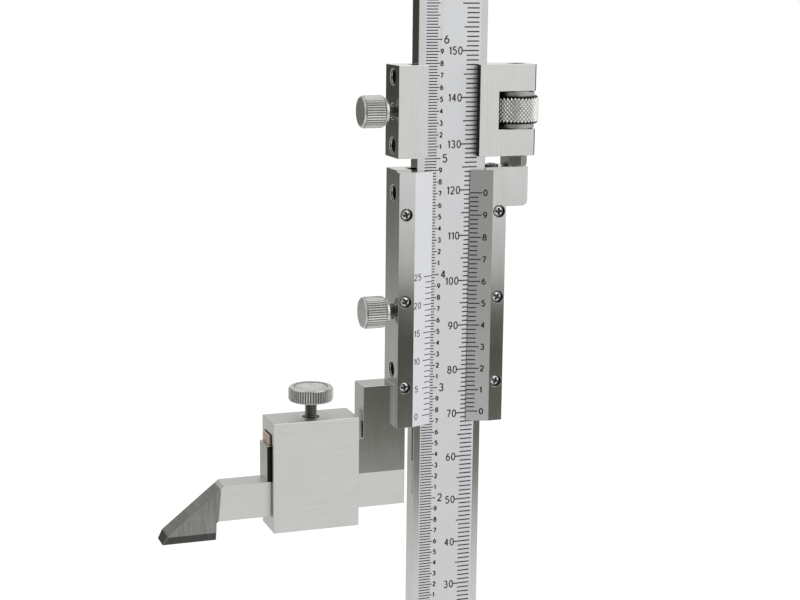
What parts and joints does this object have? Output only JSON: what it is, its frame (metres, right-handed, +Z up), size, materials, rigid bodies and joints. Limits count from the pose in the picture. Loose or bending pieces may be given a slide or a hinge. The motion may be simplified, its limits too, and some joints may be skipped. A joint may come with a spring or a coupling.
{
  "type": "vernier height gauge",
  "caption": "Vernier height gauge: block base, graduated beam, slider with vernier plates and fine-adjust nut, and a side jaw holding a clamped scriber with a ground tip.",
  "frame": {"origin": "on the surface that the base stands on, under the middle of the beam", "axes": "+Z up along the beam; the graduated face looks along -Y; the jaw and scriber reach along -X"},
  "size_m": [0.1366, 0.05, 0.2592],
  "materials": {
    "ground_steel": "ground",
    "brushed_steel": "brushed",
    "satin_chrome": "satin chrome plate",
    "bright_steel": "bright turned",
    "dark_steel": "ground dark",
    "black_steel": "blackened",
    "bronze": "bare"
  },
  "bodies": {
    "stand": {"base": "ground_steel", "beam": "satin_chrome", "beam_grub_screws": "black_steel", "beam_stop_screw": "bright_steel"},
    "fine_block": {"fine_adjust_block": "brushed_steel", "block_gib": "bronze", "block_gib_screws": "black_steel"},
    "block_lock": {"block_lock_screw": "bright_steel"},
    "fine_nut": {"fine_adjust_nut": "bright_steel"},
    "slider": {"slider_body": "brushed_steel", "slider_end_screw": "bright_steel", "slider_gib": "bronze", "slider_gib_screws": "black_steel", "fine_adjust_screw": "dark_steel", "screw_lock_nut": "black_steel", "inch_vernier_plate": "satin_chrome", "inch_plate_screws": "bright_steel", "mm_vernier_plate": "satin_chrome", "mm_plate_screws": "bright_steel"},
    "slider_lock": {"slider_lock_screw": "bright_steel"},
    "clamp": {"scriber_clamp_box": "brushed_steel", "clamp_pad": "bronze"},
    "clamp_knob": {"clamp_screw": "bright_steel"},
    "scriber": {"scriber_shank": "brushed_steel", "scriber_tip": "dark_steel"}
  },
  "joints": [
    {"name": "coarse_slide", "type": "slide", "parent": "stand", "child": "fine_block", "axis": [0, 0, 1], "range_m": [-0.06736, 0.07964]},
    {"name": "nut_turn", "type": "hinge", "parent": "fine_block", "child": "fine_nut", "pos_m": [0.0155, 0, 0.16148], "axis": [0, 0, 1], "range_deg": [-73, 2161]},
    {"name": "fine_slide", "type": "slide", "parent": "fine_block", "child": "slider", "axis": [0, 0, 1], "range_m": [-0.003, 0.0001]},
    {"name": "block_lock_turn", "type": "hinge", "parent": "fine_block", "child": "block_lock", "pos_m": [-0.0129, 0, 0.16148], "axis": [1, 0, 0], "range_deg": [-720, 0]},
    {"name": "slider_lock_turn", "type": "hinge", "parent": "slider", "child": "slider_lock", "pos_m": [-0.0126, 0, 0.11796], "axis": [1, 0, 0], "range_deg": [-720, 0]},
    {"name": "clamp_slide", "type": "slide", "parent": "slider", "child": "clamp", "axis": [1, 0, 0], "range_m": [-0.008, 0.0005]},
    {"name": "clamp_turn", "type": "hinge", "parent": "clamp", "child": "clamp_knob", "pos_m": [-0.03074, 0.0012, 0.0955], "axis": [0, 0, 1], "range_deg": [0, 1080]},
    {"name": "scriber_slide", "type": "slide", "parent": "clamp", "child": "scriber", "axis": [1, 0, 0], "range_m": [-0.014, 0.001]}
  ],
  "couplings": [
    {"joint": "nut_turn", "follows": "fine_slide", "rad_per_m": -12566}
  ]
}
